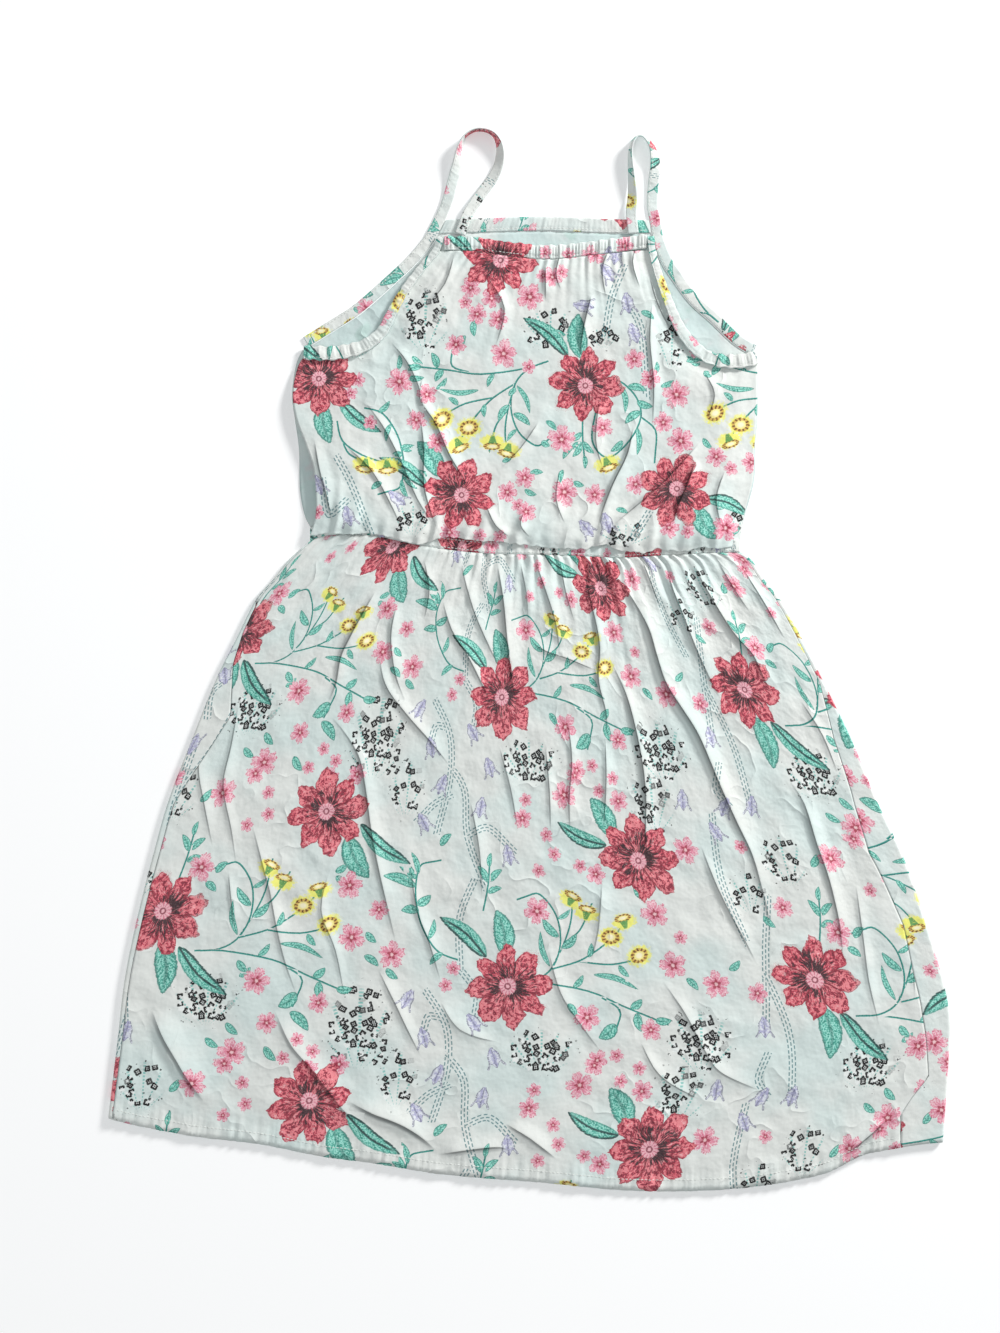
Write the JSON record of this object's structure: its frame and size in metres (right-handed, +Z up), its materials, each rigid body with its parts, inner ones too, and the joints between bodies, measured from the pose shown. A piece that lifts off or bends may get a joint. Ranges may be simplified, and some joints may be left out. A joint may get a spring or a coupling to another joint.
{
  "type": "sleeveless dress",
  "caption": "Child's sleeveless summer dress laid flat: gathered neck, thin looped straps, elastic waist and a full gathered skirt in a floral print on pale cloth.",
  "frame": {"origin": "on the surface that the dress lies on, below the middle of its bounding box", "axes": "+Z up from the surface towards the front of the dress, +Y from the hem to the straps, +X towards the picture's right, which is the wearer's left"},
  "size_m": [0.6386, 0.8057, 0.0149],
  "materials": {
    "armhole_casing_left": "thin matt woven cotton, printed with flowers",
    "armhole_casing_right": "thin matt woven cotton, printed with flowers",
    "bodice_back": "thin matt woven cotton, plain inside",
    "bodice_front": "thin matt woven cotton, printed with flowers",
    "neck_casing_back": "thin matt woven cotton, printed with flowers",
    "neck_casing_front": "thin matt woven cotton, printed with flowers",
    "skirt_back": "thin matt woven cotton, printed with flowers",
    "skirt_front": "thin matt woven cotton, printed with flowers",
    "strap_left": "thin matt woven cotton, printed with flowers",
    "strap_right": "thin matt woven cotton, printed with flowers",
    "waist_casing_back": "thin matt woven cotton, printed with flowers",
    "waist_casing_front": "thin matt woven cotton, printed with flowers"
  },
  "bodies": {
    "root": {"armhole_casing_left": "armhole_casing_left", "armhole_casing_right": "armhole_casing_right", "bodice_back": "bodice_back", "bodice_front": "bodice_front", "neck_casing_back": "neck_casing_back", "neck_casing_front": "neck_casing_front", "skirt_back": "skirt_back", "skirt_front": "skirt_front", "strap_left": "strap_left", "strap_right": "strap_right", "waist_casing_back": "waist_casing_back", "waist_casing_front": "waist_casing_front"}
  },
  "joints": []
}
